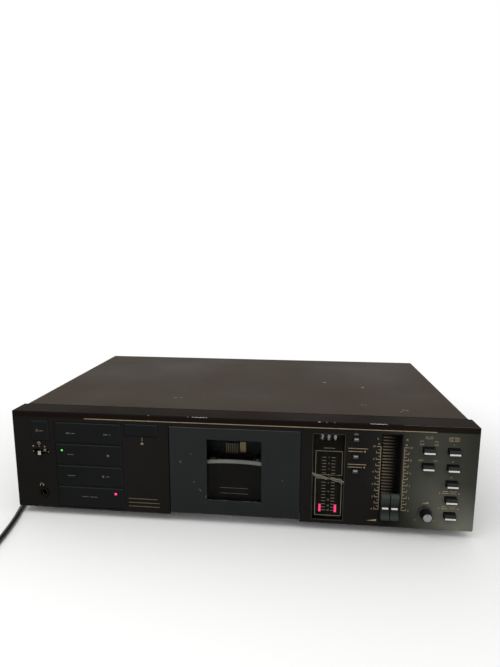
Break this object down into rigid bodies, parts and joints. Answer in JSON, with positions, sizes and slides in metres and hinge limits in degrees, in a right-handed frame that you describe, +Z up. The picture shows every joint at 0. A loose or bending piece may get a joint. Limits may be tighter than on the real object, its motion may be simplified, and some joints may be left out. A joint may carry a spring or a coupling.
{
  "type": "cassette deck",
  "caption": "Front-loading stereo cassette deck with tilting door, wide rocking transport keys, level sliders, tape counter and meter behind a lens, and mains lead",
  "frame": {"origin": "centre of the deck's footprint on the floor plane under its feet, without the lead", "axes": "X to the deck's right seen from its front, Y from the front panel to the back, Z up"},
  "size_m": [0.5087, 0.4415, 0.106],
  "materials": {
    "panel": "satin black moulded panel",
    "cap": "black moulded ABS, fine grain",
    "cover": "dark brown-grey painted steel, lightly scuffed",
    "zinc": "zinc plated sheet steel",
    "steel": "ground steel",
    "brass": "turned brass",
    "clear": "clear smoked acrylic",
    "grey": "dark grey moulding",
    "acetal": "black acetal",
    "rubber": "black rubber",
    "board": "laminate circuit board with its parts",
    "iron": "varnished iron laminations",
    "lead": "black flexible PVC"
  },
  "bodies": {
    "deck": {"front_panel": "panel", "top_cover": "cover", "bottom_chassis": "zinc", "rear_panel": "cover", "cover_screw_left_front": "zinc", "cover_screw_left_rear": "zinc", "cover_screw_right_front": "zinc", "cover_screw_right_rear": "zinc", "foot_front_left": "rubber", "foot_front_right": "rubber", "foot_rear_left": "rubber", "foot_rear_right": "rubber", "phones_jack": "cap", "key_board": "board", "mechanism_plate": "zinc", "capstan_motor": "steel", "drive_belt": "rubber", "display_lens": "clear", "control_board": "board", "fader_body": "cap", "main_board": "board", "transformer": "iron", "jack_block": "cap", "cord_gland": "lead", "power_cord": "lead", "cord_coil": "lead", "plug": "lead"},
    "power_button": {"power_button": "cap"},
    "timer_lever": {"timer_lever": "steel"},
    "transport_key_1": {"transport_key_1": "cap"},
    "transport_key_2": {"transport_key_2": "cap"},
    "transport_key_3": {"transport_key_3": "cap"},
    "transport_key_4": {"transport_key_4": "cap"},
    "eject_button": {"eject_button": "cap"},
    "door": {"cassette_door": "panel", "door_window": "clear", "cassette_holder": "grey"},
    "counter_wheel_1": {"counter_wheel_1": "cap"},
    "counter_wheel_2": {"counter_wheel_2": "cap"},
    "counter_wheel_3": {"counter_wheel_3": "cap"},
    "reset_button": {"reset_button": "cap"},
    "memory_button": {"memory_button": "cap"},
    "repeat_button": {"repeat_button": "cap"},
    "level_slider_left": {"level_slider_left": "cap"},
    "level_slider_right": {"level_slider_right": "cap"},
    "noise_button_1": {"noise_button_1": "cap"},
    "noise_button_2": {"noise_button_2": "cap"},
    "tape_button_1": {"tape_button_1": "cap"},
    "tape_button_2": {"tape_button_2": "cap"},
    "tape_button_3": {"tape_button_3": "cap"},
    "tape_button_4": {"tape_button_4": "cap"},
    "tape_button_5": {"tape_button_5": "cap"},
    "output_knob": {"output_knob": "cap"},
    "supply_reel": {"supply_reel": "acetal"},
    "takeup_reel": {"takeup_reel": "acetal"},
    "capstan_flywheel": {"capstan_flywheel": "steel"},
    "motor_pulley": {"motor_pulley": "brass"},
    "head_slide": {"head_slide": "steel"},
    "pinch_arm": {"pinch_arm": "zinc"},
    "pinch_roller": {"pinch_roller": "rubber"}
  },
  "joints": [
    {"name": "power_press", "type": "slide", "parent": "deck", "child": "power_button", "axis": [0, 1, 0], "range_m": [0, 0.0035], "stiffness_N_per_m": 250},
    {"name": "timer_slide", "type": "slide", "parent": "deck", "child": "timer_lever", "axis": [1, 0, 0], "range_m": [-0.004, 0.004]},
    {"name": "key_1_rock", "type": "hinge", "parent": "deck", "child": "transport_key_1", "pos_m": [-0.14025, -0.1174, 0.08581], "axis": [0, 0, 1], "range_deg": [-1.6, 1.6], "stiffness_Nm_per_rad": 0.6},
    {"name": "key_2_rock", "type": "hinge", "parent": "deck", "child": "transport_key_2", "pos_m": [-0.14025, -0.1174, 0.06424], "axis": [0, 0, 1], "range_deg": [-1.6, 1.6], "stiffness_Nm_per_rad": 0.6},
    {"name": "key_3_rock", "type": "hinge", "parent": "deck", "child": "transport_key_3", "pos_m": [-0.14025, -0.1174, 0.04266], "axis": [0, 0, 1], "range_deg": [-1.6, 1.6], "stiffness_Nm_per_rad": 0.6},
    {"name": "key_4_rock", "type": "hinge", "parent": "deck", "child": "transport_key_4", "pos_m": [-0.14025, -0.1174, 0.02109], "axis": [0, 0, 1], "range_deg": [-1.6, 1.6], "stiffness_Nm_per_rad": 0.6},
    {"name": "eject_press", "type": "slide", "parent": "deck", "child": "eject_button", "axis": [0, 1, 0], "range_m": [0, 0.003], "stiffness_N_per_m": 250},
    {"name": "door_tilt", "type": "hinge", "parent": "deck", "child": "door", "pos_m": [-0.001, -0.1129, 0.014], "axis": [1, 0, 0], "range_deg": [0, 22]},
    {"name": "left_level_slide", "type": "slide", "parent": "deck", "child": "level_slider_left", "axis": [0, 0, 1], "range_m": [0, 0.052]},
    {"name": "right_level_slide", "type": "slide", "parent": "deck", "child": "level_slider_right", "axis": [0, 0, 1], "range_m": [0, 0.052]},
    {"name": "output_turn", "type": "hinge", "parent": "deck", "child": "output_knob", "pos_m": [0.172, -0.1219, 0.0248], "axis": [0, 1, 0], "range_deg": [-150, 150]},
    {"name": "reset_press", "type": "slide", "parent": "deck", "child": "reset_button", "axis": [0, 1, 0], "range_m": [0, 0.0012], "stiffness_N_per_m": 200},
    {"name": "memory_press", "type": "slide", "parent": "deck", "child": "memory_button", "axis": [0, 1, 0], "range_m": [0, 0.0012], "stiffness_N_per_m": 200},
    {"name": "repeat_press", "type": "slide", "parent": "deck", "child": "repeat_button", "axis": [0, 1, 0], "range_m": [0, 0.0012], "stiffness_N_per_m": 200},
    {"name": "noise_1_press", "type": "slide", "parent": "deck", "child": "noise_button_1", "axis": [0, 1, 0], "range_m": [0, 0.003], "stiffness_N_per_m": 250},
    {"name": "noise_2_press", "type": "slide", "parent": "deck", "child": "noise_button_2", "axis": [0, 1, 0], "range_m": [0, 0.003], "stiffness_N_per_m": 250},
    {"name": "tape_1_press", "type": "slide", "parent": "deck", "child": "tape_button_1", "axis": [0, 1, 0], "range_m": [0, 0.003], "stiffness_N_per_m": 250},
    {"name": "tape_2_press", "type": "slide", "parent": "deck", "child": "tape_button_2", "axis": [0, 1, 0], "range_m": [0, 0.003], "stiffness_N_per_m": 250},
    {"name": "tape_3_press", "type": "slide", "parent": "deck", "child": "tape_button_3", "axis": [0, 1, 0], "range_m": [0, 0.003], "stiffness_N_per_m": 250},
    {"name": "tape_4_press", "type": "slide", "parent": "deck", "child": "tape_button_4", "axis": [0, 1, 0], "range_m": [0, 0.003], "stiffness_N_per_m": 250},
    {"name": "tape_5_press", "type": "slide", "parent": "deck", "child": "tape_button_5", "axis": [0, 1, 0], "range_m": [0, 0.003], "stiffness_N_per_m": 250},
    {"name": "supply_spin", "type": "hinge", "parent": "deck", "child": "supply_reel", "pos_m": [-0.02225, -0.1005, 0.059], "axis": [0, 1, 0], "continuous": true},
    {"name": "takeup_spin", "type": "hinge", "parent": "deck", "child": "takeup_reel", "pos_m": [0.02025, -0.1005, 0.059], "axis": [0, 1, 0], "continuous": true},
    {"name": "flywheel_spin", "type": "hinge", "parent": "deck", "child": "capstan_flywheel", "pos_m": [0.0295, -0.1005, 0.0315], "axis": [0, 1, 0], "continuous": true},
    {"name": "pulley_spin", "type": "hinge", "parent": "deck", "child": "motor_pulley", "pos_m": [-0.036, -0.0879, 0.0315], "axis": [0, 1, 0], "continuous": true},
    {"name": "counter_1_spin", "type": "hinge", "parent": "deck", "child": "counter_wheel_1", "pos_m": [0.07955, -0.1121, 0.0911], "axis": [1, 0, 0], "continuous": true},
    {"name": "counter_2_spin", "type": "hinge", "parent": "deck", "child": "counter_wheel_2", "pos_m": [0.08535, -0.1121, 0.0911], "axis": [1, 0, 0], "continuous": true},
    {"name": "counter_3_spin", "type": "hinge", "parent": "deck", "child": "counter_wheel_3", "pos_m": [0.09115, -0.1121, 0.0911], "axis": [1, 0, 0], "continuous": true},
    {"name": "head_lift", "type": "slide", "parent": "deck", "child": "head_slide", "axis": [0, 0, 1], "range_m": [0, 0.007], "stiffness_N_per_m": 100},
    {"name": "pinch_swing", "type": "hinge", "parent": "deck", "child": "pinch_arm", "pos_m": [0.047, -0.107, 0.017], "axis": [0, 1, 0], "range_deg": [0, 21.5]},
    {"name": "roller_spin", "type": "hinge", "parent": "pinch_arm", "child": "pinch_roller", "pos_m": [0.02819, -0.1134, 0.017], "axis": [0, 1, 0], "continuous": true}
  ],
  "couplings": [
    {"joint": "pulley_spin", "follows": "flywheel_spin", "ratio": 3.8},
    {"joint": "counter_3_spin", "follows": "takeup_spin", "ratio": 0.05},
    {"joint": "counter_2_spin", "follows": "takeup_spin", "ratio": 0.005},
    {"joint": "counter_1_spin", "follows": "takeup_spin", "ratio": 0.0005},
    {"joint": "pinch_swing", "follows": "head_lift", "rad_per_m": 53.6}
  ]
}
